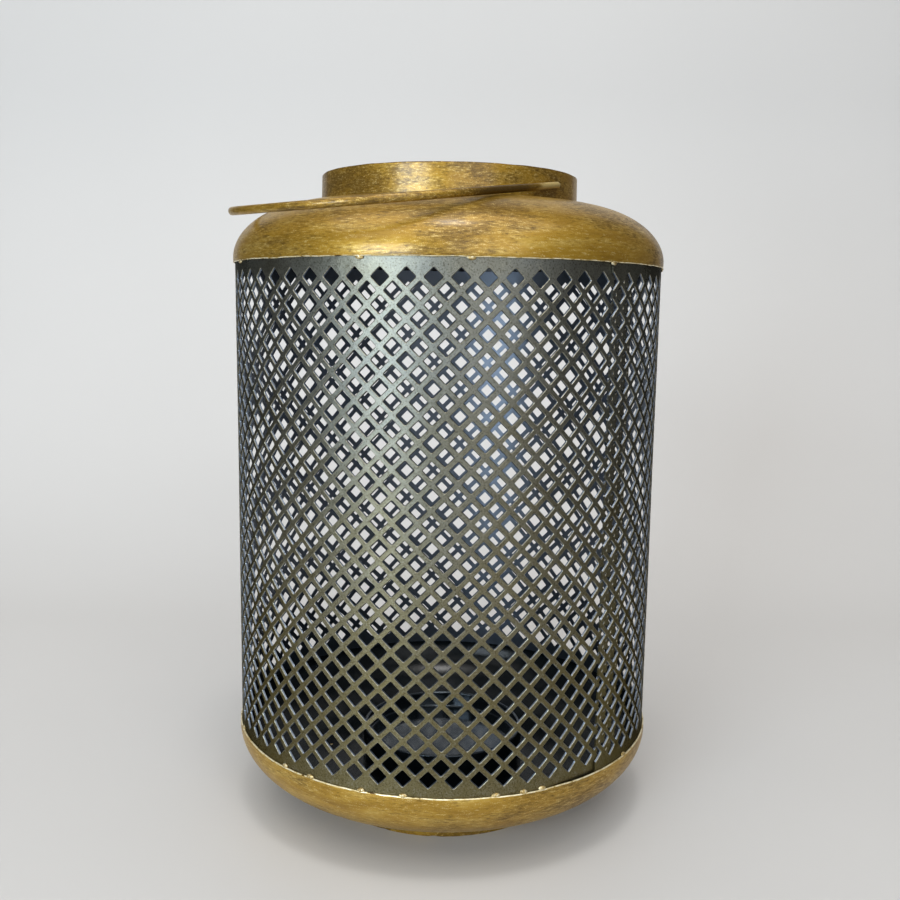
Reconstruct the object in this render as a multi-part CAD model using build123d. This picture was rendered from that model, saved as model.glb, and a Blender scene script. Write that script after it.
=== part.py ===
from build123d import *
import os
from math import atan2, cos, degrees, radians, sin

# A round table lantern of painted sheet iron: a perforated drum between a domed shoulder and a
# dished pan, with an open neck on top, a bail that folds down, and a raised candle cup inside.
# Millimetres, +Z up, origin on the axis of the drum at the foot's lower edge. The bail turns
# about an axis along X and is folded down towards -Y.

# ---- driving dimensions ----
SHEET = 0.8  # thickness of every sheet piece
DRUM_RADIUS = 100.0  # outside of the perforated sheet
NECK_RADIUS = 60.0  # outside of the neck collar, and of the foot ring below

FOOT_HEIGHT = 10.6  # foot ring below the pan
PAN_DEPTH = 29.0  # pan, from its upper edge down to its flat bottom
BAND_HEIGHT = 218.2  # perforated sheet that shows between the pan and the shoulder
SHOULDER_RISE = 28.0  # shoulder, from its lower edge up to the neck
NECK_HEIGHT = 13.0  # neck collar above the shoulder
SKIRT = 2.0  # straight lip of the pan and the shoulder, outside the perforated sheet

HOLE_SIDE = 5.5  # square hole, standing on its corner
HOLE_COLUMNS = 59.5  # hole columns in one turn; the odd half puts the lap's two layers out of step
HOLE_ROWS = 39  # rows half a pitch apart, every other one shifted half a column
EDGE_MARGIN = 7.55  # from a skirt's edge to the centres of the first row of holes
LAP_START = -8.0  # degrees from +X, where the outer end of the rolled sheet begins
LAP_ANGLE = 9.0  # degrees of sheet that lie double
LAP_STEP = 1.4  # how far the sheet's inner end lies inside its outer end
JOGGLE_ANGLE = 18.0  # degrees over which the sheet steps in to pass under its outer end
FIRST_FOLD = -10.83  # degrees from +X, the fold before the outer end

CUP_RADIUS = 40.2  # outside of the candle cup's skirt
CUP_HEIGHT = 18.2  # cup's rim above the pan's floor
CUP_RECESS = 8.0  # recess that the candle stands in, below the rim
CUP_FOLD = 2.0  # width of the folded rim

PIVOT_DROP = 6.6  # bail's pivots below the neck's rim
BAIL_HALF_WIDTH = 62.0  # from the lantern's axis to the middle of each arm
BAIL_ARM = 50.0  # straight arm, from the pivot to where the arch begins
BAIL_RADIUS = 1.8  # rod of the arch
PIN_RADIUS = 1.4  # rod drawn down towards its ends
PIN_BEND = 2.0  # centre line of the bend from arm to pin
PIN_INSIDE = 3.2  # pin inside the collar
PIN_CLEARANCE = 0.1
BAIL_REST = 8.2  # degrees below level where the folded bail rests

BEAD_RADIUS = 1.7  # weld bead
BEAD_SUNK = 0.3  # how far its centre stands off the faces that it joins
TOP_TACKS = (-70, -45, -8, 30, 66, 102, 138, 174, 210, 245)  # degrees from +X
PAN_TACKS = (-93, -84, -69.5, -59, -37, -30, -25, 5, 40, 75, 110, 145, 180, 215, 240)
NECK_TACKS = 6
FOOT_TACKS = 6
CUP_TACKS = 3

# ---- heights above the table ----
PAN_BOTTOM = FOOT_HEIGHT
PAN_EDGE = PAN_BOTTOM + PAN_DEPTH
SHOULDER_EDGE = PAN_EDGE + BAND_HEIGHT
SHOULDER_TOP = SHOULDER_EDGE + SHOULDER_RISE
NECK_RIM = SHOULDER_TOP + NECK_HEIGHT
PAN_FLOOR = PAN_BOTTOM + SHEET
CUP_RIM = PAN_FLOOR + CUP_HEIGHT
PIVOT_HEIGHT = NECK_RIM - PIVOT_DROP

SKIRT_RADIUS = DRUM_RADIUS + SHEET
COLUMN_ANGLE = 360 / HOLE_COLUMNS
ROW_STEP = (BAND_HEIGHT - 2 * EDGE_MARGIN) / (HOLE_ROWS - 1)


# ---- shared shapes ----
def spun(*edges):
    """The piece spun from a closed profile drawn in the XZ plane."""
    return revolve(Plane.XZ * make_face(Wire(list(edges))), Axis.Z)


def quarter(radius, height, rise):
    """Quarter ellipse from (radius, height) in to the neck's radius, rise higher."""
    reach = radius - NECK_RADIUS
    start = 0 if rise > 0 else 270
    return EllipticalCenterArc((NECK_RADIUS, height), reach, abs(rise), start, arc_size=90)


def ring(outer, inner, low, high):
    """Rolled strip standing on edge, with its upper and lower edges dressed round."""
    strip = extrude(Plane.XY.offset(low) * (Circle(outer) - Circle(inner)), high - low)
    return fillet(strip.edges().filter_by(GeomType.CIRCLE), 0.3 * (outer - inner))


def bead(radius, angle, height):
    """Round weld bead, before it is trimmed by the pieces that it joins."""
    return Rot(0, 0, angle) * Pos(radius, 0, height) * Sphere(BEAD_RADIUS)


def trimmed(beads, *pieces):
    """Weld beads with the metal that they join cut away, as one group of solids."""
    left = [b.cut(*pieces) for b in beads]
    return Compound(children=[max(b.solids(), key=lambda s: s.volume) for b in left])


# ---- perforated sheet ----
def roll_radius(angle):
    """Radius of the rolled sheet's outer face at an angle along the roll."""
    inner_from = LAP_START + 360
    share = (angle - (inner_from - JOGGLE_ANGLE)) / (JOGGLE_ANGLE - COLUMN_ANGLE / 2)
    return DRUM_RADIUS - LAP_STEP * min(max(share, 0), 1)


def roll_point(column, depth=0.0):
    """Point of the roll at a fold, or between two folds where column isn't whole."""
    whole = int(column // 1)
    ends = []
    for fold in (whole, whole + 1):
        angle = FIRST_FOLD + fold * COLUMN_ANGLE
        reach = roll_radius(angle) - depth / cos(radians(COLUMN_ANGLE / 2))
        ends.append(Vector(reach * cos(radians(angle)), reach * sin(radians(angle))))
    return ends[0] + (ends[1] - ends[0]) * (column - whole)


def make_shell():
    """Perforated sheet, rolled with a narrow flat for each column of holes and lapped at +X."""
    first = (LAP_START - FIRST_FOLD) / COLUMN_ANGLE
    last = first + (360 + LAP_ANGLE) / COLUMN_ANGLE
    stops = [first, *range(int(first) + 1, int(last) + 1), last]
    outline = [roll_point(s) for s in stops]
    outline += [roll_point(s, SHEET) for s in reversed(stops)]
    low = PAN_EDGE - SKIRT
    band = make_face(Polyline(*outline, close=True))
    sheet = extrude(Plane.XY.offset(low) * band, BAND_HEIGHT + 2 * SKIRT)

    proud, deep = 0.12, 1.15  # the punch reaches this far out of the sheet, and into it
    punch = Pos((proud - deep) / 2, 0, 0) * Rot(45, 0, 0) * Box(proud + deep, HOLE_SIDE, HOLE_SIDE)
    holes = []
    for half in range(int(2 * last) + 2):
        column = half / 2
        middle = roll_point(column)
        along = roll_point(column + 0.5) - roll_point(column - 0.5)
        facing = degrees(atan2(-along.X, along.Y))
        for row in range(1 - half % 2, HOLE_ROWS, 2):
            height = PAN_EDGE + EDGE_MARGIN + (HOLE_ROWS - 1 - row) * ROW_STEP
            holes.append(Pos(middle.X, middle.Y, height) * Rot(0, 0, facing) * punch)
    return sheet.cut(*holes)


# ---- spun and rolled pieces ----
def make_shoulder():
    """Domed shoulder: a straight lip outside the drum, then a quarter ellipse in to the neck."""
    spring = SHOULDER_EDGE + SKIRT
    rise = SHOULDER_RISE - SKIRT
    top = spring + rise
    return spun(
        Line((DRUM_RADIUS, spring), (DRUM_RADIUS, SHOULDER_EDGE)),
        Line((DRUM_RADIUS, SHOULDER_EDGE), (SKIRT_RADIUS, SHOULDER_EDGE)),
        Line((SKIRT_RADIUS, SHOULDER_EDGE), (SKIRT_RADIUS, spring)),
        quarter(SKIRT_RADIUS, spring, rise),
        Line((NECK_RADIUS, top), (NECK_RADIUS, top - SHEET)),
        quarter(DRUM_RADIUS, spring, rise - SHEET),
    )


def make_pan():
    """Dished pan: a straight lip outside the drum, a quarter ellipse and a flat bottom."""
    spring = PAN_EDGE - SKIRT
    fall = PAN_DEPTH - SKIRT
    return spun(
        Line((DRUM_RADIUS, spring), (DRUM_RADIUS, PAN_EDGE)),
        Line((DRUM_RADIUS, PAN_EDGE), (SKIRT_RADIUS, PAN_EDGE)),
        Line((SKIRT_RADIUS, PAN_EDGE), (SKIRT_RADIUS, spring)),
        quarter(SKIRT_RADIUS, spring, -fall),
        Line((NECK_RADIUS, PAN_BOTTOM), (0, PAN_BOTTOM)),
        Line((0, PAN_BOTTOM), (0, PAN_FLOOR)),
        Line((0, PAN_FLOOR), (NECK_RADIUS, PAN_FLOOR)),
        quarter(DRUM_RADIUS, spring, SHEET - fall),
    )


def make_collar():
    """Neck collar, set in the shoulder's hole, with the two holes that the bail hangs in."""
    collar = ring(NECK_RADIUS, NECK_RADIUS - SHEET, SHOULDER_TOP - 2.5 * SHEET, NECK_RIM)
    drill = Pos(0, 0, PIVOT_HEIGHT) * Rot(0, 90, 0)
    return collar - drill * Cylinder(PIN_RADIUS + PIN_CLEARANCE, 3 * NECK_RADIUS)


def make_foot():
    """Foot ring, standing under the pan's flat bottom."""
    return extrude(Circle(NECK_RADIUS) - Circle(NECK_RADIUS - SHEET), PAN_BOTTOM)


def make_cup():
    """Raised candle cup: a skirt on the pan's floor, folded over into a shallow recess."""
    bore = CUP_RADIUS - CUP_FOLD
    turn = CUP_RIM - CUP_FOLD / 2
    floor = CUP_RIM - CUP_RECESS
    skirt_inside = CUP_RADIUS - SHEET
    wall_outside = bore + SHEET
    fold_under = turn - SHEET
    return spun(
        Line((0, floor), (bore, floor)),
        Line((bore, floor), (bore, turn)),
        ThreePointArc((bore, turn), (bore + CUP_FOLD / 2, CUP_RIM), (CUP_RADIUS, turn)),
        Line((CUP_RADIUS, turn), (CUP_RADIUS, PAN_FLOOR)),
        Line((CUP_RADIUS, PAN_FLOOR), (skirt_inside, PAN_FLOOR)),
        Line((skirt_inside, PAN_FLOOR), (skirt_inside, fold_under)),
        Line((skirt_inside, fold_under), (wall_outside, fold_under)),
        Line((wall_outside, fold_under), (wall_outside, floor - SHEET)),
        Line((wall_outside, floor - SHEET), (0, floor - SHEET)),
        Line((0, floor - SHEET), (0, floor)),
    )


# ---- bail ----
def make_bail_side(side):
    """Pin, bend and tapered arm, level and towards -Y; side is 1 at +X, -1 at -X."""
    from_start = (Align.CENTER, Align.CENTER, Align.MIN)
    bend_x = BAIL_HALF_WIDTH - PIN_BEND
    pin_end = NECK_RADIUS - SHEET - PIN_INSIDE
    outward = Rot(0, 90 * side, 0)
    pin = Cylinder(PIN_RADIUS, bend_x - pin_end, align=from_start)
    pin = chamfer(pin.edges().sort_by(Axis.Z)[0], 0.35)
    pin = Pos(side * pin_end, 0, 0) * outward * pin
    section = Pos(side * bend_x, 0, 0) * outward * Circle(PIN_RADIUS)
    bend = revolve(section, Axis((side * bend_x, -PIN_BEND, 0), (0, 0, -side)), 90)
    arm = Cone(PIN_RADIUS, BAIL_RADIUS, BAIL_ARM - PIN_BEND, align=from_start)
    arm = Pos(side * BAIL_HALF_WIDTH, -PIN_BEND, 0) * Rot(90, 0, 0) * arm
    return pin + bend + arm


def make_bail():
    """Bail handle at rest, folded down to the shoulder."""
    section = Pos(BAIL_HALF_WIDTH, -BAIL_ARM, 0) * Rot(90, 0, 0) * Circle(BAIL_RADIUS)
    arch = revolve(section, Axis((0, -BAIL_ARM, 0), (0, 0, -1)), 180)
    bail = make_bail_side(-1) + arch + make_bail_side(1)
    return Pos(0, 0, PIVOT_HEIGHT) * Rot(BAIL_REST, 0, 0) * bail


# ---- welds ----
def make_seam_tacks(angles, edge, side, skirt_piece):
    """Beads in the corner between the drum and a skirt's edge; side is -1 below it, +1 above."""
    drum = Pos(0, 0, edge) * Cylinder(DRUM_RADIUS, 20)
    beads = [bead(DRUM_RADIUS - BEAD_SUNK, a, edge + side * BEAD_SUNK) for a in angles]
    return trimmed(beads, drum, skirt_piece)


def make_neck_tacks(shoulder, collar):
    """Beads inside, where the collar passes through the shoulder."""
    below = SHOULDER_TOP - SHEET
    angles = [30 + 360 * n / NECK_TACKS for n in range(NECK_TACKS)]
    beads = [bead(NECK_RADIUS + BEAD_SUNK, a, below - BEAD_SUNK) for a in angles]
    return trimmed(beads, shoulder, collar)


def make_foot_tacks(pan, foot):
    """Beads inside the foot ring, under the pan."""
    inside = NECK_RADIUS - SHEET
    angles = [30 + 360 * n / FOOT_TACKS for n in range(FOOT_TACKS)]
    beads = [bead(inside - BEAD_SUNK, a, PAN_BOTTOM - BEAD_SUNK) for a in angles]
    return trimmed(beads, pan, foot)


def make_cup_tacks(pan, cup):
    """Beads at the foot of the cup's skirt, on the pan's floor."""
    angles = [90 + 360 * n / CUP_TACKS for n in range(CUP_TACKS)]
    beads = [bead(CUP_RADIUS + BEAD_SUNK, a, PAN_FLOOR + BEAD_SUNK) for a in angles]
    return trimmed(beads, pan, cup)


def main():
    shoulder = make_shoulder()
    collar = make_collar()
    pan = make_pan()
    foot = make_foot()
    cup = make_cup()
    parts = {
        "perforated_shell": make_shell(),
        "shoulder": shoulder,
        "neck_collar": collar,
        "bottom_pan": pan,
        "foot_ring": foot,
        "candle_cup": cup,
        "bail_handle": make_bail(),
        "top_seam_tacks": make_seam_tacks(TOP_TACKS, SHOULDER_EDGE, -1, shoulder),
        "bottom_seam_tacks": make_seam_tacks(PAN_TACKS, PAN_EDGE, 1, pan),
        "neck_tacks": make_neck_tacks(shoulder, collar),
        "foot_tacks": make_foot_tacks(pan, foot),
        "cup_tacks": make_cup_tacks(pan, cup),
    }
    os.makedirs("parts", exist_ok=True)
    for name, part in parts.items():
        # curves on surfaces are left out of the shell's file, which would be twice as large
        export_step(part, f"parts/{name}.step", write_pcurves=name != "perforated_shell")


main()
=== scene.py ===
"""Looks of a perforated table lantern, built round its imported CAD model. Metres, +Z up."""
import math

import bmesh
import bpy
import numpy as np
from mathutils import Matrix, Vector, noise


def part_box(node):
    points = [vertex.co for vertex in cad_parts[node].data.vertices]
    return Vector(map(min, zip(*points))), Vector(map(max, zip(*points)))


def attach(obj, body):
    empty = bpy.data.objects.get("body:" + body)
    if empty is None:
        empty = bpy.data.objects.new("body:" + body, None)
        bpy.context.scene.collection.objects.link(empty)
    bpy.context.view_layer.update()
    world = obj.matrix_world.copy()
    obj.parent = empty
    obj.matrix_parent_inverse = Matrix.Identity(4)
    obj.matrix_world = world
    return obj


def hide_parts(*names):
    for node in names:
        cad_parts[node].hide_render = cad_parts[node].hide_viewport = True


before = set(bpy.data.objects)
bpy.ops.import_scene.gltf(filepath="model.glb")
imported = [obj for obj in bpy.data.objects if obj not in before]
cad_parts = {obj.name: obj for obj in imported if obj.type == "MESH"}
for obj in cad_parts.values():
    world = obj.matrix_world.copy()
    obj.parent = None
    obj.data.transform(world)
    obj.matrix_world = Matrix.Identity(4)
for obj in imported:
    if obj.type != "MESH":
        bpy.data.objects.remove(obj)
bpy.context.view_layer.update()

MM = 0.001
LANTERN, BAIL = "lantern", "bail"

# ---- sizes, the CAD model's own ----
SHEET = 0.8 * MM
DRUM_RADIUS = 100 * MM
NECK_RADIUS = 60 * MM
SKIRT = 2 * MM
PAN_BOTTOM, PAN_EDGE = (corner.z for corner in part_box("bottom_pan"))
SHOULDER_EDGE, SHOULDER_TOP = (corner.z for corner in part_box("shoulder"))
COLLAR_FOOT, NECK_RIM = (corner.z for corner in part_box("neck_collar"))
SHELL_LOW, SHELL_HIGH = (corner.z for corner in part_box("perforated_shell"))
CUP_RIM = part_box("candle_cup")[1].z
PAN_FLOOR = PAN_BOTTOM + SHEET
SKIRT_RADIUS = DRUM_RADIUS + SHEET

HOLE_SIDE = 5.5 * MM
HOLE_ROWS = 39
HOLE_COLUMNS = 59.5  # in one turn of the sheet
EDGE_MARGIN = 7.55 * MM
ROW_STEP = (SHOULDER_EDGE - PAN_EDGE - 2 * EDGE_MARGIN) / (HOLE_ROWS - 1)
COLUMN_ANGLE = math.radians(360 / HOLE_COLUMNS)
FIRST_FOLD = math.radians(-10.83)
LAP_START = math.radians(-8)
LAP_ANGLE = math.radians(9)
JOGGLE_ANGLE = math.radians(18)
LAP_STEP = SHEET + 0.15 * MM

CUP_RADIUS = 40.2 * MM
CUP_RECESS = 8 * MM
CUP_FOLD = 2 * MM

PIVOT_DROP = 6.6 * MM  # pivots below the neck's rim
PIVOT_HEIGHT = NECK_RIM - PIVOT_DROP
PIN_HOLE = 1.5 * MM
BAIL_HALF_WIDTH = 62 * MM
BAIL_ARM = 50 * MM
BAIL_REST = math.radians(8.2)
PIN_BEND = 2 * MM
PIN_END = 56 * MM
# Where the weld beads sit round the drum, in degrees from +X.
TOP_TACKS = (-70, -45, -8, 30, 66, 102, 138, 174, 210, 245)
PAN_TACKS = (-93, -84, -69.5, -59, -37, -30, -25, 5, 40, 75, 110, 145, 180, 215, 240)

# ---- how fine the meshes are, and how uneven the hand-made metal is ----
TURN_STEPS = 288
SHARP_EDGE = math.radians(38)  # a sharper turn than this is not smoothed over
ROLL_GAP = 0.1 * MM  # between the sheet's outer face and the skirts round it
PUNCH_CORNER = 0.5 * MM  # radius of a punched hole's corners
PUNCH_ROLL = 0.20 * MM  # rounded-over edge of a punched hole
PUNCH_TAPER = 0.22 * MM  # how far each side of a hole closes in towards the sheet's inner face
RIM_HEIGHT = 0.5 * MM  # height of a rim painted apart: the skirts' pale rim, partly rubbed bare and partly painted highlight, and the neck's browned rim
SHEET_WAVE = 0.14 * MM  # depth of the drum's slow dents
DENTS_ROUND, DENTS_UP = 2.4, 14  # how close together they lie, round the drum and up it
EDGE_WAVE = 0.28 * MM  # how far a skirt's edge wanders up and down
EDGE_PINCH = 0.12 * MM  # how far a skirt's edge is pressed in
EDGE_REACH = 4 * MM  # height of skirt that wanders with its edge
NECK_PINCH = 0.25 * MM  # how far the neck's rim is out of round
NECK_DIP = 0.1 * MM
FOOT_NICK = 0.5 * MM
FOOT_NICKED = 2 * MM  # height of the foot ring that its nicks reach
CUP_PINCH = 0.2 * MM
CUP_PINCHED = 6 * MM  # depth of the cup that is out of round


# ---- nodes ----
class Shade:
    """A material's node tree, with short ways to add and join what it needs."""

    def __init__(self, name):
        self.material = bpy.data.materials.new(name)
        self.material.use_nodes = True
        self.tree = self.material.node_tree
        self.shader = self.tree.nodes["Principled BSDF"]

    def join(self, value, socket):
        """Links value to socket where it is an output, else sets it."""
        if isinstance(value, bpy.types.NodeSocket):
            self.tree.links.new(value, socket)
        else:
            socket.default_value = value

    def node(self, kind, inputs=(), **settings):
        made = self.tree.nodes.new(kind)
        for name, value in settings.items():
            setattr(made, name, value)
        for name, value in dict(inputs).items():
            self.join(value, made.inputs[name])
        return made

    def math(self, operation, *values):
        made = self.node("ShaderNodeMath", operation=operation)
        for socket, value in zip(made.inputs, values):
            self.join(value, socket)
        return made.outputs[0]

    def weigh(self, *parts):
        """Sum of (value, weight) parts."""
        total = None
        for value, weight in parts:
            share = self.math("MULTIPLY", value, weight)
            total = share if total is None else self.math("ADD", total, share)
        return total

    def place(self):
        """Position on the piece, in its own coordinates."""
        return self.node("ShaderNodeTexCoord").outputs["Object"]

    def parts(self):
        split = self.node("ShaderNodeSeparateXYZ", {"Vector": self.place()})
        return split.outputs[0], split.outputs[1], split.outputs[2]

    def turned(self, along, across):
        """(vector, w) for a 4D noise drawn out round the lantern's axis.

        along and across are its scales round the axis and square to that.
        """
        x, y, z = self.parts()
        radius = self.math("SQRT", self.math("ADD", self.math("MULTIPLY", x, x), self.math("MULTIPLY", y, y)))
        safe = self.math("MAXIMUM", radius, 1e-4)
        scaled = [self.math("MULTIPLY", self.math("DIVIDE", v, safe), along) for v in (x, y)]
        vector = self.node("ShaderNodeCombineXYZ", {"X": scaled[0], "Y": scaled[1],
                                                    "Z": self.math("MULTIPLY", z, across)})
        return vector.outputs[0], self.math("MULTIPLY", radius, across)

    def brushed(self, along, across, detail=3.0, rough=0.6):
        """Noise drawn out round the axis, from 0 to 1."""
        vector, w = self.turned(along, across)
        made = self.node("ShaderNodeTexNoise", {"Vector": vector, "W": w, "Scale": 1.0, "Detail": detail,
                                                "Roughness": rough}, noise_dimensions="4D")
        return made.outputs[0]

    def speckle(self, scale, detail=2.0, rough=0.6):
        made = self.node("ShaderNodeTexNoise", {"Vector": self.place(), "Scale": scale, "Detail": detail,
                                                "Roughness": rough})
        return made.outputs[0]

    def ramp(self, factor, *stops):
        """Colour or value ramp; each stop is (position, colour or value)."""
        made = self.node("ShaderNodeValToRGB", {"Fac": factor})
        points = made.color_ramp.elements
        while len(points) < len(stops):
            points.new(0.5)
        for point, (position, colour) in zip(points, stops):
            point.position = position
            point.color = (colour,) * 3 + (1,) if isinstance(colour, (int, float)) else (*colour, 1)
        return made.outputs[0]

    def mix(self, factor, first, second):
        made = self.node("ShaderNodeMix", data_type="RGBA", blend_type="MIX")
        for index, value in ((0, factor), (6, first), (7, second)):
            if isinstance(value, tuple):
                value = (*value, 1)
            self.join(value, made.inputs[index])
        return made.outputs[2]

    def spread(self, value, low, high, to_low=0.0, to_high=1.0):
        """value carried from the range low..high to to_low..to_high, held within it."""
        made = self.node("ShaderNodeMapRange", {"Value": value, "From Min": low, "From Max": high,
                                                "To Min": to_low, "To Max": to_high})
        return made.outputs[0]

    def bump(self, *heights):
        """Bump of several (height, distance in metres) layers."""
        normal = None
        for height, distance in heights:
            inputs = {"Height": height, "Distance": distance, "Strength": 1.0}
            if normal is not None:
                inputs["Normal"] = normal
            normal = self.node("ShaderNodeBump", inputs).outputs[0]
        self.join(normal, self.shader.inputs["Normal"])

    def set(self, **values):
        """Sets the shader's inputs; the names have _ for a space."""
        for name, value in values.items():
            if isinstance(value, tuple) and len(value) == 3:
                value = (*value, 1)
            self.join(value, self.shader.inputs[name.replace("_", " ")])


# ---- materials ----
GOLD_DEEP, GOLD_BODY, GOLD_LIGHT = (0.25, 0.133, 0.010), (0.37, 0.215, 0.022), (0.54, 0.365, 0.080)
WIPED_BROWN, DARK_BROWN, PALE_GOLD = (0.150, 0.078, 0.007), (0.072, 0.036, 0.003), (0.76, 0.61, 0.27)
# The drum's change from cool grey at the top to olive lower down is a painted reflection: window above, warm
# table below.
COOL_GREY, PALE_GREY = (0.140, 0.137, 0.106), (0.180, 0.188, 0.173)
OLIVE_REFLECTION, RUBBED_GREY, GRIME = (0.150, 0.128, 0.062), (0.26, 0.25, 0.20), (0.045, 0.034, 0.018)
EDGE_BROWN, EDGE_STEEL = (0.13, 0.115, 0.07), (0.36, 0.34, 0.26)
WARM_REFLECTION_UP_TO, COOL_REFLECTION_FROM = 110 * MM, 240 * MM  # heights between which the drum's painted reflection turns from olive (the warm table below) to grey (the cool window above)
CLOUD_SHIFT = 60 * MM  # how far that change wanders
DARK_STRETCH_MIDDLE = 39 * MM  # darker stretch of the bail's arm, measured from the pivots
DARK_STRETCH_INNER, DARK_STRETCH_OUTER = 13 * MM, 24 * MM  # half lengths: darkest, and not darkened
DARK_STRETCH_RAGGED = 30 * MM
PALE_END_START, PALE_END_FULL = 20 * MM, 13 * MM  # distances from the pivots


def dark_and_pale_arm(s, ragging, colour):
    """The bail's right arm: darker brown along a stretch of it, and paler towards its pivot end."""
    x, y, _ = s.parts()
    right = s.spread(x, 0.0, 1 * MM)
    ragged = s.math("ADD", y, s.math("MULTIPLY", s.math("SUBTRACT", ragging, 0.5), DARK_STRETCH_RAGGED))
    from_middle = s.math("ABSOLUTE", s.math("ADD", ragged, DARK_STRETCH_MIDDLE))
    dark = s.spread(from_middle, DARK_STRETCH_OUTER, DARK_STRETCH_INNER, 0.0, 0.9)
    pale = s.spread(ragged, -PALE_END_START, -PALE_END_FULL, 0.0, 0.6)
    colour = s.mix(s.math("MULTIPLY", dark, right), colour, DARK_BROWN)
    return s.mix(s.math("MULTIPLY", pale, right), colour, PALE_GOLD)


def antique_gold(name, worn=0.0, arm_marks=False):
    """Gold paint brushed round the piece, with brown wiped over it in streaks and specks.

    worn is how much more brown is left on it: 0 for none, more for a browner piece. With the arm flag set,
    a stretch of the bail's right arm is darker and its pivot end paler.
    """
    s = Shade(name)
    patch = s.brushed(along=2.4, across=46, detail=3, rough=0.55)
    band = s.brushed(along=4.5, across=240, detail=4, rough=0.6)
    streak = s.brushed(along=30, across=1400, detail=3, rough=0.65)
    grain = s.speckle(1900, detail=2, rough=0.65)
    fleck = s.speckle(2900, detail=1)
    gold = s.ramp(band, (0.30, GOLD_DEEP), (0.50, GOLD_BODY), (0.70, GOLD_LIGHT))
    wiped = s.weigh((patch, 0.7), (band, 0.6), (streak, 0.35))
    veil = s.spread(wiped, 0.74 - 0.04 * worn, 0.91 - 0.04 * worn, 0.0, 0.85)
    speckled = s.weigh((streak, 1.5), (grain, 0.8), (patch, 0.7), (band, 0.5))
    specks = s.spread(speckled, 1.80 - 0.10 * worn, 2.10 - 0.10 * worn, 0.0, 0.70)
    colour = s.mix(specks, s.mix(veil, gold, WIPED_BROWN), DARK_BROWN)
    rubbed = s.spread(s.weigh((fleck, 0.4), (streak, -0.6)), -0.05, 0.05, 0.0, 0.5)
    colour = s.mix(rubbed, colour, PALE_GOLD)
    if arm_marks:
        colour = dark_and_pale_arm(s, band, colour)
    dull = s.weigh((veil, 0.3), (specks, 0.4), (grain, 0.3))
    s.set(Base_Color=colour, Metallic=0.60, Specular_Tint=(0.85, 0.70, 0.40),
          Coat_Weight=0.4, Coat_IOR=1.6, Coat_Roughness=0.22,
          Roughness=s.spread(dull, 0.10, 0.70, 0.42, 0.62))
    s.bump((streak, 0.00004), (grain, 0.00003), (band, 0.00012))
    return s.material


def gunmetal(name):
    """Satin gunmetal paint on the punched sheet, with a painted reflection: grey near the top, olive brown
    lower down.
    """
    s = Shade(name)
    cloud = s.speckle(30, detail=3)
    _, _, height = s.parts()
    # painted reflection: the drum turns olive lower down, where it mirrors the warm table
    wandering = s.math("ADD", height, s.math("MULTIPLY", cloud, CLOUD_SHIFT))
    brown = s.spread(wandering, WARM_REFLECTION_UP_TO, COOL_REFLECTION_FROM, 1.0, 0.0)
    grain = s.speckle(1500, detail=2, rough=0.65)
    rub = s.speckle(260, detail=3, rough=0.6)
    cool = s.ramp(cloud, (0.30, COOL_GREY), (0.70, PALE_GREY))
    rubbed = s.spread(s.weigh((grain, 0.7), (rub, 0.3)), 0.52, 0.66, 0.0, 0.55)
    colour = s.mix(rubbed, s.mix(brown, cool, OLIVE_REFLECTION), RUBBED_GREY)
    colour = s.mix(s.spread(grain, 0.34, 0.46, 0.65, 0.0), colour, GRIME)
    s.set(Base_Color=colour, Metallic=0.98, Specular_Tint=(0.03, 0.03, 0.025),
          Roughness=s.spread(s.weigh((cloud, 0.5), (grain, 0.5)), 0.35, 0.65, 0.36, 0.47))
    s.bump((grain, 0.00003), (rub, 0.00010), (cloud, 0.0004))
    return s.material


def cut_edge(name):
    """Rolled lip of each punched hole and the sheet's outer edges, rubbed nearly to bare steel."""
    s = Shade(name)
    grain = s.speckle(900, detail=3)
    colour = s.ramp(grain, (0.35, EDGE_BROWN), (0.62, EDGE_STEEL))
    s.set(Base_Color=colour, Metallic=0.75, Roughness=s.spread(grain, 0.3, 0.7, 0.28, 0.42))
    return s.material


def rim_wear_and_highlight(name):
    """Sheared edge of the shoulder and the pan, partly rubbed to pale gold and partly a painted highlight
    where the lip catches light, with brown left in its nicks.
    """
    s = Shade(name)
    wear = s.brushed(along=30, across=500, detail=3, rough=0.7)
    # the pale stops are rubbed metal and painted highlight along the lip
    colour = s.ramp(wear, (0.36, DARK_BROWN), (0.42, (0.50, 0.38, 0.15)), (0.56, (0.80, 0.72, 0.50)))
    s.set(Base_Color=colour, Metallic=0.45, Roughness=s.spread(wear, 0.35, 0.6, 0.5, 0.30))
    return s.material


def black_gloss(name, roughness=(0.18, 0.26), ior=1.5, shine=0.25, tint=(1, 1, 1)):
    """Thin black gloss paint of the inside, with orange peel and a little dust. tint colours its shine."""
    s = Shade(name)
    peel = s.speckle(420, detail=2)
    dust = s.speckle(2600, detail=2, rough=0.75)
    colour = s.mix(s.spread(dust, 0.62, 0.74, 0.0, 0.02), (0.004, 0.006, 0.007), (0.05, 0.05, 0.05))
    s.set(Base_Color=colour, Metallic=0.0, IOR=ior, Specular_IOR_Level=shine, Specular_Tint=tint,
          Roughness=s.spread(dust, 0.35, 0.7, roughness[0], roughness[1]))
    s.bump((peel, 0.00004))
    return s.material


def weld(name):
    """Weld spatter, brushed over with paint and rubbed pale on its crown."""
    s = Shade(name)
    lump = s.speckle(700, detail=4, rough=0.7)
    colour = s.ramp(lump, (0.36, (0.16, 0.10, 0.035)), (0.50, (0.46, 0.33, 0.12)), (0.66, (0.75, 0.70, 0.52)))
    s.set(Base_Color=colour, Metallic=0.6, Roughness=s.spread(lump, 0.3, 0.7, 0.5, 0.32))
    s.bump((lump, 0.0003))
    return s.material


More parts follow.
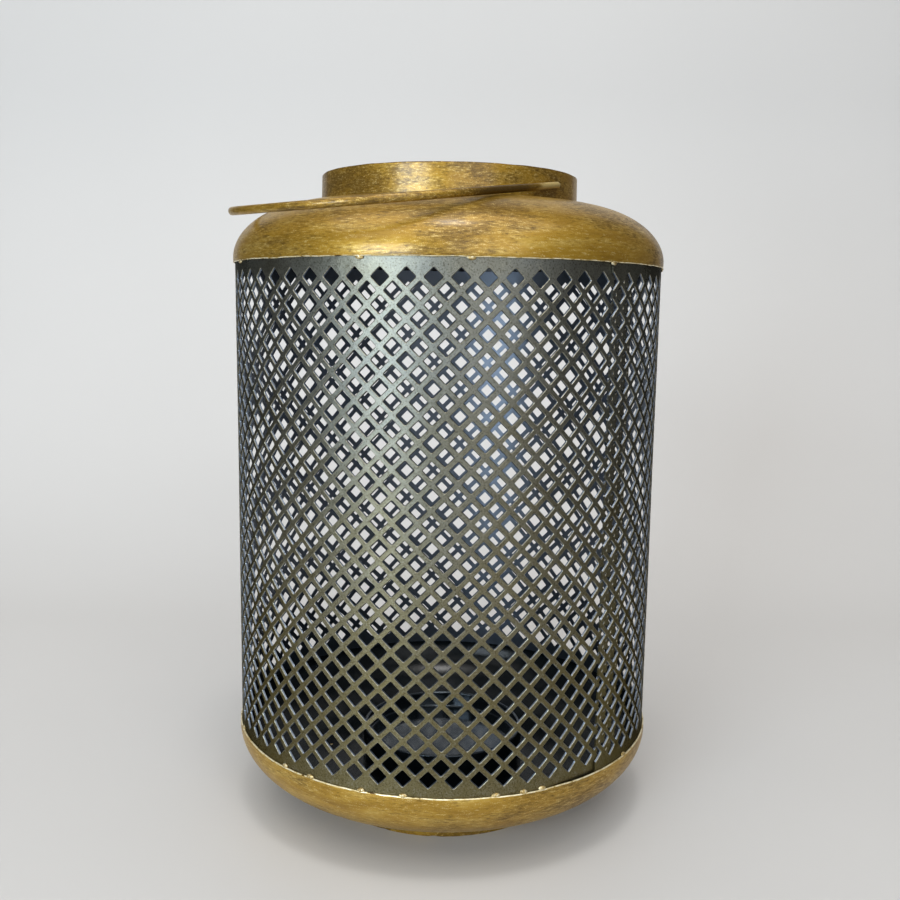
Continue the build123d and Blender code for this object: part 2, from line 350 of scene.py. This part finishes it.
def plain_stage(name, colour):
    s = Shade(name)
    tint = s.speckle(2.2, detail=2)
    shaded = tuple(0.97 * c for c in colour)
    s.set(Base_Color=s.mix(s.spread(tint, 0.3, 0.7), colour, shaded), Roughness=0.55, Specular_IOR_Level=0.3)
    return s.material


# ---- mesh helpers ----
def make_piece(name, points, faces, materials, indices=None, sharp=SHARP_EDGE):
    """A smooth-shaded mesh object with sharp edges where faces meet at more than an angle."""
    mesh = bpy.data.meshes.new(name)
    mesh.from_pydata([tuple(p) for p in points], [], faces)
    for material in materials:
        mesh.materials.append(material)
    if indices is not None:
        mesh.polygons.foreach_set("material_index", indices)
    finish_mesh(mesh, sharp)
    piece = bpy.data.objects.new(name, mesh)
    bpy.context.scene.collection.objects.link(piece)
    return piece


def finish_mesh(mesh, sharp=SHARP_EDGE):
    """Merges doubled points, turns every face outwards and sets how the mesh is shaded."""
    bm = bmesh.new()
    bm.from_mesh(mesh)
    bmesh.ops.remove_doubles(bm, verts=bm.verts, dist=0.002 * MM)
    bmesh.ops.recalc_face_normals(bm, faces=bm.faces)
    bm.to_mesh(mesh)
    bm.free()
    mesh.shade_smooth()
    mesh.set_sharp_from_angle(angle=sharp)
    mesh.update()


def place_piece(piece, body, slot, *nodes):
    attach(piece, body)
    if nodes:
        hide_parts(*nodes)
    return piece


def ellipse_run(start, end, centre, steps):
    """Quarter ellipse in (radius, height) about centre, from start to end, without its first point."""
    angles = [math.pi / 2 * i / steps for i in range(1, steps + 1)]
    return [tuple(c + (s - c) * math.cos(a) + (e - c) * math.sin(a) for s, e, c in zip(start, end, centre))
            for a in angles]


def round_edge(centre, radius, start, turn, steps=4):
    """Arc in (radius, height) about centre, from start turning by turn degrees."""
    angles = [math.radians(start + turn * i / steps) for i in range(steps + 1)]
    return [(centre[0] + radius * math.cos(a), centre[1] + radius * math.sin(a)) for a in angles]


def straight_run(start, end, steps):
    """Points from start to end, without the first."""
    return [tuple(s + (e - s) * i / steps for s, e in zip(start, end)) for i in range(1, steps + 1)]


def ripple(angle, turns, seed):
    """Smooth unevenness round the axis, from -1 to 1, that closes on itself."""
    at = Vector((turns * math.cos(angle), turns * math.sin(angle), seed))
    return max(-1, min(1, 1.8 * noise.noise(at)))


def spin(profile, shift=None, steps=TURN_STEPS):
    """(points, faces) of a closed (radius, height) profile spun about Z.

    shift moves a point, given its radius, height and angle.
    """
    points = []
    for j in range(steps):
        angle = 2 * math.pi * j / steps
        for radius, height in profile:
            if shift:
                radius, height = shift(radius, height, angle)
            points.append((radius * math.cos(angle), radius * math.sin(angle), height))
    n = len(profile)
    faces = []
    for j in range(steps):
        k = (j + 1) % steps
        for i in range(n):
            faces.append((j * n + i, k * n + i, k * n + (i + 1) % n, j * n + (i + 1) % n))
    return points, faces


# ---- perforated sheet ----
OUTSIDE, RUBBED, INSIDE = range(3)  # the sheet's materials, in order


def punch_ring(grow):
    """Outline of a punched hole in (along, up), grown outwards.

    It is a square on its corner, with three points at each rounded corner.
    """
    reach = HOLE_SIDE / math.sqrt(2) - PUNCH_CORNER * math.sqrt(2)
    ring = []
    for quarter in range(4):
        for step in (-1, 0, 1):
            a = math.pi / 2 * quarter + math.pi / 4 * step
            centre = (reach * math.cos(math.pi / 2 * quarter), reach * math.sin(math.pi / 2 * quarter))
            ring.append((centre[0] + (PUNCH_CORNER + grow) * math.cos(a),
                         centre[1] + (PUNCH_CORNER + grow) * math.sin(a)))
    return ring


class FlatSheet:
    """The sheet before it is rolled: x along it, y into its thickness, z up."""

    def __init__(self, last):
        self.pitch = DRUM_RADIUS * COLUMN_ANGLE
        self.last = last
        self.points, self.faces, self.kinds, self.shared = [], [], [], {}
        self.rim, self.lip, self.back = (punch_ring(grow) for grow in (PUNCH_ROLL, 0, -PUNCH_TAPER))

    def height(self, row):
        return SHOULDER_EDGE - EDGE_MARGIN - row * ROW_STEP

    def add(self, x, depth, z):
        self.points.append((x, depth, z))
        return len(self.points) - 1

    def corner(self, half, row, depth):
        """Point of the lattice, at half columns and rows, on the sheet's face at that depth."""
        key = (half, row, depth)
        if key not in self.shared:
            z = row if isinstance(row, float) else self.height(row)
            self.shared[key] = self.add(half / 2 * self.pitch, depth, z)
        return self.shared[key]

    def face(self, corners, kind, flip=False):
        self.faces.append(tuple(reversed(corners)) if flip else tuple(corners))
        self.kinds.append(kind)

    def cell(self, half, row):
        """The metal round one hole, out to halfway to its neighbours."""
        x, z = half / 2 * self.pitch, self.height(row)
        rim = [self.add(x + a, 0.0, z + b) for a, b in self.rim]
        lip = [self.add(x + a, 0.8 * PUNCH_ROLL, z + b) for a, b in self.lip]
        back = [self.add(x + a, SHEET, z + b) for a, b in self.back]
        next_to = ((1, 0), (0, -1), (-1, 0), (0, 1))
        for ring, depth, kind, flip in ((rim, 0.0, OUTSIDE, False), (back, SHEET, INSIDE, True)):
            corners = [self.corner(half + a, row + b, depth) for a, b in next_to]
            for k in range(4):
                first, middle, last = ring[3 * k:3 * k + 3]
                following = ring[(3 * k + 3) % 12]
                self.face((corners[k], middle, first), kind, flip)
                self.face((corners[k], last, middle), kind, flip)
                self.face((corners[k], corners[(k + 1) % 4], following, last), kind, flip)
        for i in range(12):
            j = (i + 1) % 12
            self.face((rim[i], rim[j], lip[j], lip[i]), RUBBED)
            self.face((lip[i], lip[j], back[j], back[i]), INSIDE)

    def band(self, row, edge, up):
        """The plain strip from an outer row of holes to the sheet's edge: up is 1 above them, -1 below."""
        halves = range(-1, 2 * int(self.last) + 5)
        past = row - up
        for depth, kind, flip in ((0.0, OUTSIDE, up < 0), (SHEET, INSIDE, up > 0)):
            for half in halves:
                apex = half % 2
                left, right = self.corner(half, past, depth), self.corner(half + 1, past, depth)
                dip = self.corner(half + apex, row, depth)
                self.face((left, dip, right), kind, flip)
                top = [self.corner(half + n, edge, depth) for n in (0, 1)]
                self.face((left, right, top[1], top[0]), kind, flip)
        for half in halves:
            front = [self.corner(half + n, edge, 0.0) for n in (0, 1)]
            back = [self.corner(half + n, edge, SHEET) for n in (0, 1)]
            self.face((front[0], front[1], back[1], back[0]), RUBBED, up < 0)


def cut_end(bm, x, keep):
    """Cuts the flat sheet at x, keeps the side that keep (1 or -1) points to, and closes the cut."""
    everything = list(bm.verts) + list(bm.edges) + list(bm.faces)
    cut = bmesh.ops.bisect_plane(bm, geom=everything, plane_co=(x, 0, 0), plane_no=(-keep, 0, 0),
                                 clear_outer=True)
    edges = [e for e in cut["geom_cut"] if isinstance(e, bmesh.types.BMEdge)]
    made = bmesh.ops.holes_fill(bm, edges=edges, sides=0)
    for face in made["faces"]:
        face.material_index = OUTSIDE


def roll(x, depth, z):
    """Point of the rolled sheet for a point of the flat one."""
    angle = FIRST_FOLD + x / DRUM_RADIUS
    inner_from = LAP_START + 2 * math.pi
    share = (angle - (inner_from - JOGGLE_ANGLE)) / (0.8 * JOGGLE_ANGLE)
    share = min(max(share, 0), 1)
    step = LAP_STEP * share * share * (3 - 2 * share)
    middle = 4 * (z - SHELL_LOW) * (SHELL_HIGH - z) / (SHELL_HIGH - SHELL_LOW) ** 2
    at = Vector((DENTS_ROUND * math.cos(angle), DENTS_ROUND * math.sin(angle), DENTS_UP * z))
    dent = SHEET_WAVE * (0.5 + 0.5 * max(-1, min(1, 1.7 * noise.noise(at)))) * middle
    radius = DRUM_RADIUS - ROLL_GAP - step - dent - depth
    return radius * math.cos(angle), radius * math.sin(angle), z


def make_perforated_sheet(materials):
    first = (LAP_START - FIRST_FOLD) / COLUMN_ANGLE
    last = first + (2 * math.pi + LAP_ANGLE) / COLUMN_ANGLE
    sheet = FlatSheet(last)
    for half in range(0, 2 * int(last) + 4):
        for row in range(1 - half % 2, HOLE_ROWS, 2):
            sheet.cell(half, row)
    sheet.band(0, SHELL_HIGH, 1)
    sheet.band(HOLE_ROWS - 1, SHELL_LOW, -1)
    piece = make_piece("perforated_sheet", sheet.points, sheet.faces, materials, sheet.kinds)
    bm = bmesh.new()
    bm.from_mesh(piece.data)
    cut_end(bm, first * sheet.pitch, 1)
    cut_end(bm, last * sheet.pitch, -1)
    for vert in bm.verts:
        vert.co = roll(*vert.co)
    bm.to_mesh(piece.data)
    bm.free()
    finish_mesh(piece.data)
    return place_piece(piece, LANTERN, "gunmetal_sheet", "perforated_shell")


# ---- spun pieces ----
HOLLOW, RIM = 1, 2  # second and third material of the shoulder and the pan


def skirt_shift(edge, away, seed):
    """Shift for a spun piece whose skirt ends at height edge and runs away (1 up, -1 down) from it."""
    def shift(radius, height, angle):
        near = max(0, 1 - away * (height - edge) / EDGE_REACH)
        if radius < DRUM_RADIUS - 1 * MM:
            near = 0
        wave = 0.6 * ripple(angle, 5, seed) + 0.4 * ripple(angle, 16, seed + 7)
        height += near * EDGE_WAVE * wave
        radius -= near * EDGE_PINCH * (0.5 + 0.5 * ripple(angle, 9, seed + 3))
        return radius, height
    return shift


def dome_profile(edge, away, rise, inner_end):
    """Closed profile of the shoulder (away 1) or the pan (away -1).

    It runs up the skirt and along a quarter ellipse, through inner_end's points, and back inside.
    """
    spring = edge + away * SKIRT
    half = SHEET / 2
    lip = [(DRUM_RADIUS + half + half * math.cos(a), edge + away * half * (1 - math.sin(a)))
           for a in np.linspace(math.pi, 0, 7)]
    outside = ellipse_run((SKIRT_RADIUS, spring), (NECK_RADIUS, spring + away * rise),
                          (NECK_RADIUS, spring), 30)
    inside = ellipse_run((DRUM_RADIUS, spring), (NECK_RADIUS, spring + away * (rise - SHEET)),
                         (NECK_RADIUS, spring), 30)
    return lip + [(SKIRT_RADIUS, spring)] + outside + inner_end + inside[::-1] + [(DRUM_RADIUS, spring)]


def paint_faces(piece, edge, hollow):
    """Paints the faces that look towards the point hollow, inside the drum, and the skirt's rounded rim,
    which is at height edge."""
    for face in piece.data.polygons:
        centre = face.center
        if face.normal.dot(hollow - centre) > 0 and math.hypot(centre.x, centre.y) < DRUM_RADIUS + 0.01 * MM:
            face.material_index = HOLLOW
        elif abs(centre.z - edge) < RIM_HEIGHT:
            face.material_index = RIM


def make_shoulder(materials):
    profile = dome_profile(SHOULDER_EDGE, 1, SHOULDER_TOP - SHOULDER_EDGE - SKIRT, [])
    points, faces = spin(profile, skirt_shift(SHOULDER_EDGE, 1, 11))
    piece = make_piece("shoulder_dome", points, faces, materials)
    paint_faces(piece, SHOULDER_EDGE, Vector((0, 0, SHOULDER_EDGE - NECK_RADIUS)))
    return place_piece(piece, LANTERN, "antique_brass", "shoulder")


def make_pan(materials):
    bottom = straight_run((NECK_RADIUS, PAN_BOTTOM), (0, PAN_BOTTOM), 10)
    floor = straight_run((0, PAN_FLOOR), (NECK_RADIUS, PAN_FLOOR), 10)
    inner_end = bottom + [(0, PAN_FLOOR)] + floor[:-1]
    profile = dome_profile(PAN_EDGE, -1, PAN_EDGE - PAN_BOTTOM - SKIRT, inner_end)
    points, faces = spin(profile, skirt_shift(PAN_EDGE, -1, 23))
    piece = make_piece("dished_pan", points, faces, materials)
    paint_faces(piece, PAN_EDGE, Vector((0, 0, PAN_EDGE + NECK_RADIUS)))
    return place_piece(piece, LANTERN, "antique_brass", "bottom_pan")


def drill_pin_holes(piece):
    """Cuts the two holes that the bail's pins turn in, straight across the piece."""
    drill = bmesh.new()
    across = Matrix.Translation((0, 0, PIVOT_HEIGHT)) @ Matrix.Rotation(math.pi / 2, 4, "Y")
    bmesh.ops.create_cone(drill, cap_ends=True, segments=32, radius1=PIN_HOLE, radius2=PIN_HOLE,
                          depth=4 * NECK_RADIUS, matrix=across)
    tool_mesh = bpy.data.meshes.new("drill")
    drill.to_mesh(tool_mesh)
    drill.free()
    tool = bpy.data.objects.new("drill", tool_mesh)
    bpy.context.scene.collection.objects.link(tool)
    cut = piece.modifiers.new("pin_holes", "BOOLEAN")
    cut.operation, cut.solver, cut.object = "DIFFERENCE", "EXACT", tool
    bpy.context.view_layer.update()
    drilled = bpy.data.meshes.new_from_object(piece.evaluated_get(bpy.context.evaluated_depsgraph_get()))
    piece.modifiers.clear()
    piece.data = drilled
    bpy.data.objects.remove(tool)


def make_collar(materials):
    half = SHEET / 2
    middle = NECK_RADIUS - half
    top = round_edge((middle, NECK_RIM - half), half, 0, 180, 8)
    low = round_edge((middle, COLLAR_FOOT + half), half, 180, 180, 6)
    profile = top + straight_run(top[-1], low[0], 12)[:-1] + low + straight_run(low[-1], top[0], 12)[:-1]

    def shift(radius, height, angle):
        near = max(0, (height - SHOULDER_TOP) / (NECK_RIM - SHOULDER_TOP))
        pinch = near * NECK_PINCH * (0.5 + 0.5 * ripple(angle, 2.2, 5))
        dip = near * NECK_DIP * (1 + ripple(angle, 6, 9))
        return radius - pinch, height - dip

    points, faces = spin(profile, shift)
    piece = make_piece("neck_strip", points, faces, materials)
    for face in piece.data.polygons:
        face.material_index = int(face.center.z > NECK_RIM - RIM_HEIGHT)
    drill_pin_holes(piece)
    finish_mesh(piece.data)
    return place_piece(piece, LANTERN, "antique_brass", "neck_collar")


def make_foot(gold):
    inner = NECK_RADIUS - SHEET
    roundness = 0.25 * MM
    low = round_edge((NECK_RADIUS - roundness, roundness), roundness, 0, -90, 3)
    low += round_edge((inner + roundness, roundness), roundness, 270, -90, 3)
    profile = [(inner, PAN_BOTTOM), (NECK_RADIUS, PAN_BOTTOM)]
    profile += straight_run(profile[-1], low[0], 5) + low[1:] + straight_run(low[-1], profile[0], 5)[:-1]

    def shift(radius, height, angle):
        nick = max(0, ripple(angle, 14, 31) - 0.35) * FOOT_NICK
        return radius, height + nick * max(0, 1 - height / FOOT_NICKED)

    points, faces = spin(profile, shift)
    return place_piece(make_piece("foot_strip", points, faces, [gold]), LANTERN, "antique_brass", "foot_ring")


def make_cup(black):
    bore = CUP_RADIUS - CUP_FOLD
    fold = CUP_FOLD / 2
    floor = CUP_RIM - CUP_RECESS
    easing = 1.2 * MM
    profile = [(0, floor)] + straight_run((0, floor), (bore - easing, floor), 12)
    profile += round_edge((bore - easing, floor + easing), easing, 270, 90, 5)[1:]
    profile += straight_run((bore, floor + easing), (bore, CUP_RIM - fold), 3)
    profile += round_edge((bore + fold, CUP_RIM - fold), fold, 180, -180, 12)[1:]
    profile += straight_run((CUP_RADIUS, CUP_RIM - fold), (CUP_RADIUS, PAN_FLOOR), 8)
    under = floor - SHEET
    inner = CUP_RADIUS - SHEET
    profile += [(inner, PAN_FLOOR), (inner, CUP_RIM - fold - SHEET), (bore + SHEET, CUP_RIM - fold - SHEET),
                (bore + SHEET, under)]
    profile += straight_run((bore + SHEET, under), (0, under), 6)

    def shift(radius, height, angle):
        near = max(0, 1 - (CUP_RIM - height) / CUP_PINCHED) * (radius > bore)
        return radius - near * CUP_PINCH * (0.5 + 0.5 * ripple(angle, 3, 41)), height

    points, faces = spin(profile, shift, 192)
    return place_piece(make_piece("cup_bowl", points, faces, [black]), LANTERN, "dark_cup", "candle_cup")


# ---- bail ----
def bail_line():
    """[(x, y)] of the bail's centre line, level, from one pin's end to the other's."""
    inner = BAIL_HALF_WIDTH - PIN_BEND
    half = [(-PIN_END, 0), (-0.5 * (PIN_END + inner), 0), (-inner, 0)]
    half += [(-inner - PIN_BEND * math.sin(a), -PIN_BEND * (1 - math.cos(a)))
             for a in np.linspace(0, math.pi / 2, 9)[1:]]
    half += straight_run((-BAIL_HALF_WIDTH, -PIN_BEND), (-BAIL_HALF_WIDTH, -BAIL_ARM), 24)
    arch = [(-BAIL_HALF_WIDTH * math.cos(a), -BAIL_ARM - BAIL_HALF_WIDTH * math.sin(a))
            for a in np.linspace(0, math.pi, 97)[1:-1]]
    return half + arch + [(-x, y) for x, y in reversed(half)]


def bail_thickness(length):
    """Rod's radius at a length from its nearer end: drawn down towards the pins."""
    lengths, radii = zip((0, 1.4), (8, 1.4), (30, 1.55), (62, 1.68), (88, 1.8), (115, 1.8), (152, 1.74))
    return MM * float(np.interp(length / MM, lengths, radii))


def make_bail(gold):
    line = bail_line()
    lengths = np.concatenate([[0], np.cumsum([math.dist(a, b) for a, b in zip(line, line[1:])])])
    sides = 20
    points, faces = [], []
    tip = Matrix.Translation((0, 0, PIVOT_HEIGHT)) @ Matrix.Rotation(BAIL_REST, 4, "X")
    for i, (x, y) in enumerate(line):
        before, after = line[max(i - 1, 0)], line[min(i + 1, len(line) - 1)]
        tangent = Vector((after[0] - before[0], after[1] - before[1], 0)).normalized()
        side = Vector((-tangent.y, tangent.x, 0))
        radius = bail_thickness(min(lengths[i], lengths[-1] - lengths[i]))
        for k in range(sides):
            a = 2 * math.pi * k / sides
            uneven = 1 + 0.02 * noise.noise(Vector((x, y, 0)) * 180 + Vector((0, 0, 2 * math.cos(a))))
            offset = (side * math.cos(a) + Vector((0, 0, 1)) * math.sin(a)) * radius * min(uneven, 1)
            points.append(tip @ (Vector((x, y, 0)) + offset))
    rings = len(line)
    for i in range(rings - 1):
        for k in range(sides):
            n = (k + 1) % sides
            faces.append((i * sides + k, i * sides + n, (i + 1) * sides + n, (i + 1) * sides + k))
    for ring in (0, rings - 1):
        faces.append(tuple(ring * sides + k for k in range(sides)))
    piece = make_piece("bail_rod", points, faces, [gold], sharp=math.radians(60))
    return place_piece(piece, BAIL, "antique_brass", "bail_handle")


# ---- welds ----
def make_beads(name, spots, size, material, node):
    """Lumps of weld metal, each with its own shape, at spots (angle in degrees, radius, height)."""
    bm = bmesh.new()
    for n, (degrees_round, radius, height) in enumerate(spots):
        lump = bmesh.ops.create_icosphere(bm, subdivisions=3, radius=1)["verts"]
        turn = Matrix.Rotation(math.radians(degrees_round), 4, "Z")
        wide = 1 + 0.45 * noise.noise(Vector((n * 3.1, 0.4, 8.2)))
        for vert in lump:
            rough = 1 + 0.22 * noise.noise(vert.co * 1.7 + Vector((n * 5.3, 1.7, 0)))
            flat = Vector((vert.co.x * size[0], vert.co.y * size[1] * wide, vert.co.z * size[2])) * rough
            vert.co = turn @ (Vector((radius, 0, height)) + flat)
    mesh = bpy.data.meshes.new(name)
    bm.to_mesh(mesh)
    bm.free()
    mesh.materials.append(material)
    finish_mesh(mesh, math.radians(80))
    piece = bpy.data.objects.new(name, mesh)
    bpy.context.scene.collection.objects.link(piece)
    return place_piece(piece, LANTERN, "weld_bead", node)


def make_welds(material):
    bead = (0.7 * MM, 1.7 * MM, 1.1 * MM)
    hidden_bead = (1.3 * MM, 1.7 * MM, 1.3 * MM)
    proud = 0.3 * MM
    drum = DRUM_RADIUS + 0.1 * MM
    sixths = [30 + 60 * n for n in range(6)]
    thirds = [90 + 120 * n for n in range(3)]
    under_shoulder = [(a, drum, SHOULDER_EDGE - 0.1 * MM) for a in TOP_TACKS]
    over_pan = [(a, drum, PAN_EDGE + 0.2 * MM) for a in PAN_TACKS]
    at_neck = [(a, NECK_RADIUS + proud, SHOULDER_TOP - SHEET - proud) for a in sixths]
    in_foot = [(a, NECK_RADIUS - SHEET - proud, PAN_BOTTOM - proud) for a in sixths]
    at_cup = [(a, CUP_RADIUS + proud, PAN_FLOOR + proud) for a in thirds]
    make_beads("welds_under_shoulder", under_shoulder, bead, material, "top_seam_tacks")
    make_beads("welds_over_pan", over_pan, bead, material, "bottom_seam_tacks")
    make_beads("welds_at_neck", at_neck, hidden_bead, material, "neck_tacks")
    make_beads("welds_in_foot", in_foot, hidden_bead, material, "foot_tacks")
    make_beads("welds_at_cup", at_cup, hidden_bead, material, "cup_tacks")


# ---- stage, light and camera ----
PAPER_COLOUR, FLOOR_COLOUR = (0.585, 0.575, 0.565), (0.20, 0.195, 0.19)
ROOM_COLOUR, ROOM_STRENGTH = (0.62, 0.60, 0.57, 1), 0.22
LIGHT_AIM = 0.15  # height that every light is turned to
CAMERA_AZIMUTH = math.radians(40)
CAMERA_DISTANCE = 0.4783
CAMERA_HEIGHT = SHOULDER_EDGE - 19.8 * MM
CAMERA_LENS, CAMERA_SENSOR = 39.29, 36  # millimetres
CAMERA_PITCH, CAMERA_YAW, CAMERA_ROLL = (math.radians(a) for a in (8.139, 0.238, 0.811))


def view_frame():
    """Unit vectors to the camera's right, up and forwards, before they are turned to its azimuth."""
    pitch, yaw, roll_angle = CAMERA_PITCH, CAMERA_YAW, CAMERA_ROLL
    forward = Vector((math.sin(yaw) * math.cos(pitch), math.cos(yaw) * math.cos(pitch), -math.sin(pitch)))
    right = forward.cross(Vector((0, 0, 1))).normalized()
    up = right.cross(forward)
    tilted_right = right * math.cos(roll_angle) + up * math.sin(roll_angle)
    tilted_up = -right * math.sin(roll_angle) + up * math.cos(roll_angle)
    return tilted_right, tilted_up, forward


def make_camera():
    data = bpy.data.cameras.new("camera")
    data.lens, data.sensor_width = CAMERA_LENS, CAMERA_SENSOR
    camera = bpy.data.objects.new("camera", data)
    bpy.context.scene.collection.objects.link(camera)
    right, up, forward = view_frame()
    turn = Matrix.Rotation(CAMERA_AZIMUTH, 4, "Z")
    place = Matrix((right, up, -forward)).transposed().to_4x4()
    place.translation = (0, -CAMERA_DISTANCE, CAMERA_HEIGHT)
    camera.matrix_world = turn @ place
    bpy.context.scene.camera = camera


def around(azimuth, distance, height):
    """Point at an azimuth in degrees to the right of the camera, as seen from the lantern."""
    a = CAMERA_AZIMUTH + math.radians(azimuth)
    return Vector((math.sin(a) * distance, -math.cos(a) * distance, height))


def make_light(name, azimuth, distance, height, size, power, colour):
    """Soft rectangular light, turned to the middle of the lantern."""
    data = bpy.data.lights.new(name, "AREA")
    data.shape, data.size, data.size_y = "RECTANGLE", size[0], size[1]
    data.energy, data.color = power, colour
    light = bpy.data.objects.new(name, data)
    bpy.context.scene.collection.objects.link(light)
    light.location = around(azimuth, distance, height)
    light.rotation_euler = (Vector((0, 0, LIGHT_AIM)) - light.location).to_track_quat("-Z", "Y").to_euler()


def make_lights():
    """Daylight from a window on the left, the room's own glow on the right, and soft light from above."""
    make_light("window", azimuth=-31, distance=1.7, height=0.42, size=(0.75, 0.84), power=24,
               colour=(0.78, 0.90, 1.0))
    make_light("room", azimuth=18, distance=2.4, height=0.85, size=(1.7, 1.6), power=20,
               colour=(0.96, 0.98, 1.0))
    make_light("skylight", azimuth=5, distance=0.45, height=1.8, size=(0.3, 0.3), power=5,
               colour=(1.0, 0.98, 0.95))
    make_light("ceiling", azimuth=-10, distance=0.7, height=2.0, size=(3.0, 2.4), power=40,
               colour=(1.0, 0.985, 0.96))


def make_stage():
    """Sheet of pale paper under the lantern that sweeps up behind it, on a grey floor."""
    behind, bend, wall, front, width = 0.75, 0.5, 1.6, 0.75, 1.20
    run = [(-front, 0.0), (0.0, 0.0), (behind - bend, 0.0)]
    run += [(behind - bend + bend * math.sin(a), bend * (1 - math.cos(a)))
            for a in np.linspace(0, math.pi / 2, 25)[1:]]
    run += [(behind, wall)]
    turn = Matrix.Rotation(CAMERA_AZIMUTH, 4, "Z")
    points = [turn @ Vector((side * width / 2, y, z)) for y, z in run for side in (-1, 1)]
    faces = [(2 * i, 2 * i + 1, 2 * i + 3, 2 * i + 2) for i in range(len(run) - 1)]
    sweep = make_piece("stage_sweep", points, faces, [plain_stage("pale_paper", PAPER_COLOUR)])
    reach, below = 3.0, -1 * MM
    corners = [(x * reach, y * reach, below) for x, y in ((-1, -1), (1, -1), (1, 1), (-1, 1))]
    floor = make_piece("stage_floor", corners, [(0, 1, 2, 3)], [plain_stage("grey_floor", FLOOR_COLOUR)])


def make_world():
    world = bpy.data.worlds.new("room")
    world.use_nodes = True
    background = world.node_tree.nodes["Background"]
    background.inputs["Color"].default_value = ROOM_COLOUR
    background.inputs["Strength"].default_value = ROOM_STRENGTH
    bpy.context.scene.world = world


def main():
    make_camera()
    gold = antique_gold("antique_brass_paint")
    spun = [gold, black_gloss("black_gloss_paint"), rim_wear_and_highlight("rubbed_rim_and_highlight")]
    make_perforated_sheet([gunmetal("gunmetal_paint"), cut_edge("rubbed_edge"),
                           black_gloss("sheet_inside_paint", roughness=(0.30, 0.40), ior=2.1, shine=0.7,
                                       tint=(0.68, 0.80, 1.0))])
    make_shoulder(spun)
    make_collar([gold, antique_gold("browned_rim", worn=2.5)])
    make_pan(spun)
    make_foot(gold)
    make_cup(black_gloss("cup_paint", roughness=(0.09, 0.14), ior=1.6, shine=0.6, tint=(0.75, 0.88, 1.0)))
    make_bail(antique_gold("bail_paint", worn=0.4, arm_marks=True))
    make_welds(weld("weld_metal"))
    make_stage()
    make_world()
    make_lights()
    bpy.context.scene.view_settings.view_transform = "Standard"


main()
